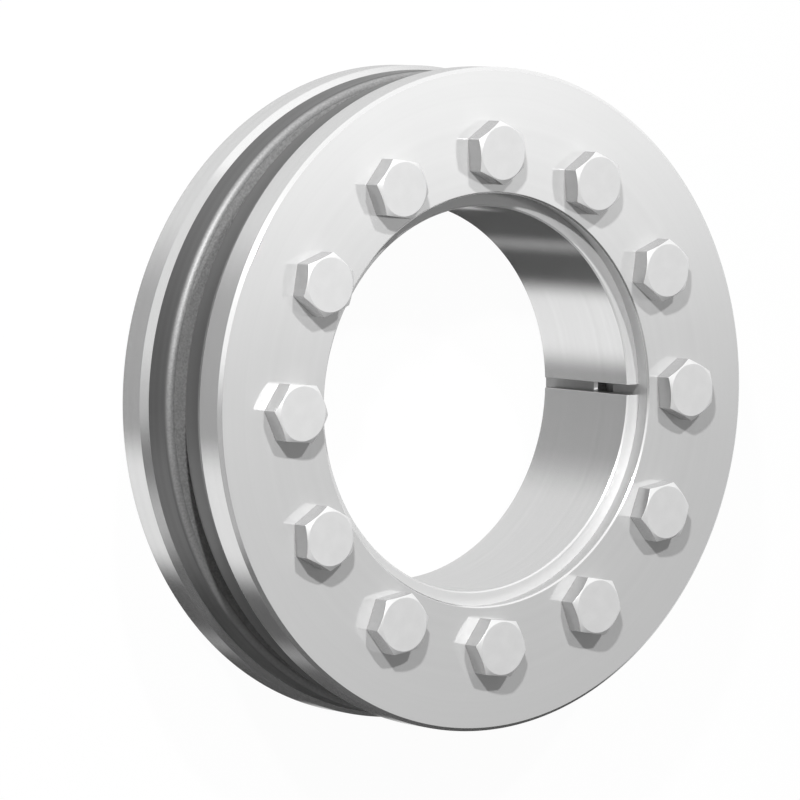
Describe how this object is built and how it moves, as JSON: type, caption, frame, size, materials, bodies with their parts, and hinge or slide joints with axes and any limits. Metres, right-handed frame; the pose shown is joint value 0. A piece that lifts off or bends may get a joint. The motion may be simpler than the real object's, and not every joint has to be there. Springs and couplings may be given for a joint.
{
  "type": "shrink disc",
  "caption": "Shrink disc that clamps a hollow shaft onto a shaft: flanged thrust rings drawn together by hexagon screws over a slit double-cone inner ring.",
  "frame": {"origin": "centre of the flat rear face, on the axis; the disc stands on this face", "axes": "+Z along the axis towards the screw heads; +X through the slit of the inner ring and the first screw"},
  "size_m": [0.215, 0.215, 0.0608],
  "materials": {
    "thrust_ring_steel": "turned bright, fine lay, with a rough forged face towards the gap",
    "inner_ring_steel": "smooth turned and polished bore",
    "screw_steel": "bright zinc plated"
  },
  "bodies": {
    "rear_ring": {"rear_thrust_ring": "thrust_ring_steel"},
    "front_ring": {"front_thrust_ring": "thrust_ring_steel"},
    "inner_ring": {"inner_ring": "inner_ring_steel"},
    "screw_01": {"screw_01": "screw_steel"},
    "screw_02": {"screw_02": "screw_steel"},
    "screw_03": {"screw_03": "screw_steel"},
    "screw_04": {"screw_04": "screw_steel"},
    "screw_05": {"screw_05": "screw_steel"},
    "screw_06": {"screw_06": "screw_steel"},
    "screw_07": {"screw_07": "screw_steel"},
    "screw_08": {"screw_08": "screw_steel"},
    "screw_09": {"screw_09": "screw_steel"},
    "screw_10": {"screw_10": "screw_steel"},
    "screw_11": {"screw_11": "screw_steel"},
    "screw_12": {"screw_12": "screw_steel"}
  },
  "joints": [
    {"name": "front_ring_slide", "type": "slide", "parent": "rear_ring", "child": "front_ring", "axis": [0, 0, 1], "range_m": [0, 0.0035]},
    {"name": "inner_ring_slide", "type": "slide", "parent": "rear_ring", "child": "inner_ring", "axis": [0, 0, 1], "range_m": [0, 0.00175]},
    {"name": "screw_01_turn", "type": "hinge", "parent": "front_ring", "child": "screw_01", "pos_m": [0.08, 0, 0.054], "axis": [0, 0, 1], "range_deg": [0, 720]},
    {"name": "screw_02_turn", "type": "hinge", "parent": "front_ring", "child": "screw_02", "pos_m": [0.06928, 0.04, 0.054], "axis": [0, 0, 1], "range_deg": [0, 720]},
    {"name": "screw_03_turn", "type": "hinge", "parent": "front_ring", "child": "screw_03", "pos_m": [0.04, 0.06928, 0.054], "axis": [0, 0, 1], "range_deg": [0, 720]},
    {"name": "screw_04_turn", "type": "hinge", "parent": "front_ring", "child": "screw_04", "pos_m": [0, 0.08, 0.054], "axis": [0, 0, 1], "range_deg": [0, 720]},
    {"name": "screw_05_turn", "type": "hinge", "parent": "front_ring", "child": "screw_05", "pos_m": [-0.04, 0.06928, 0.054], "axis": [0, 0, 1], "range_deg": [0, 720]},
    {"name": "screw_06_turn", "type": "hinge", "parent": "front_ring", "child": "screw_06", "pos_m": [-0.06928, 0.04, 0.054], "axis": [0, 0, 1], "range_deg": [0, 720]},
    {"name": "screw_07_turn", "type": "hinge", "parent": "front_ring", "child": "screw_07", "pos_m": [-0.08, 0, 0.054], "axis": [0, 0, 1], "range_deg": [0, 720]},
    {"name": "screw_08_turn", "type": "hinge", "parent": "front_ring", "child": "screw_08", "pos_m": [-0.06928, -0.04, 0.054], "axis": [0, 0, 1], "range_deg": [0, 720]},
    {"name": "screw_09_turn", "type": "hinge", "parent": "front_ring", "child": "screw_09", "pos_m": [-0.04, -0.06928, 0.054], "axis": [0, 0, 1], "range_deg": [0, 720]},
    {"name": "screw_10_turn", "type": "hinge", "parent": "front_ring", "child": "screw_10", "pos_m": [0, -0.08, 0.054], "axis": [0, 0, 1], "range_deg": [0, 720]},
    {"name": "screw_11_turn", "type": "hinge", "parent": "front_ring", "child": "screw_11", "pos_m": [0.04, -0.06928, 0.054], "axis": [0, 0, 1], "range_deg": [0, 720]},
    {"name": "screw_12_turn", "type": "hinge", "parent": "front_ring", "child": "screw_12", "pos_m": [0.06928, -0.04, 0.054], "axis": [0, 0, 1], "range_deg": [0, 720]}
  ],
  "couplings": [
    {"joint": "inner_ring_slide", "follows": "front_ring_slide", "ratio": 0.5},
    {"joint": "screw_01_turn", "follows": "front_ring_slide", "rad_per_m": 3590.4},
    {"joint": "screw_02_turn", "follows": "front_ring_slide", "rad_per_m": 3590.4},
    {"joint": "screw_03_turn", "follows": "front_ring_slide", "rad_per_m": 3590.4},
    {"joint": "screw_04_turn", "follows": "front_ring_slide", "rad_per_m": 3590.4},
    {"joint": "screw_05_turn", "follows": "front_ring_slide", "rad_per_m": 3590.4},
    {"joint": "screw_06_turn", "follows": "front_ring_slide", "rad_per_m": 3590.4},
    {"joint": "screw_07_turn", "follows": "front_ring_slide", "rad_per_m": 3590.4},
    {"joint": "screw_08_turn", "follows": "front_ring_slide", "rad_per_m": 3590.4},
    {"joint": "screw_09_turn", "follows": "front_ring_slide", "rad_per_m": 3590.4},
    {"joint": "screw_10_turn", "follows": "front_ring_slide", "rad_per_m": 3590.4},
    {"joint": "screw_11_turn", "follows": "front_ring_slide", "rad_per_m": 3590.4},
    {"joint": "screw_12_turn", "follows": "front_ring_slide", "rad_per_m": 3590.4}
  ]
}
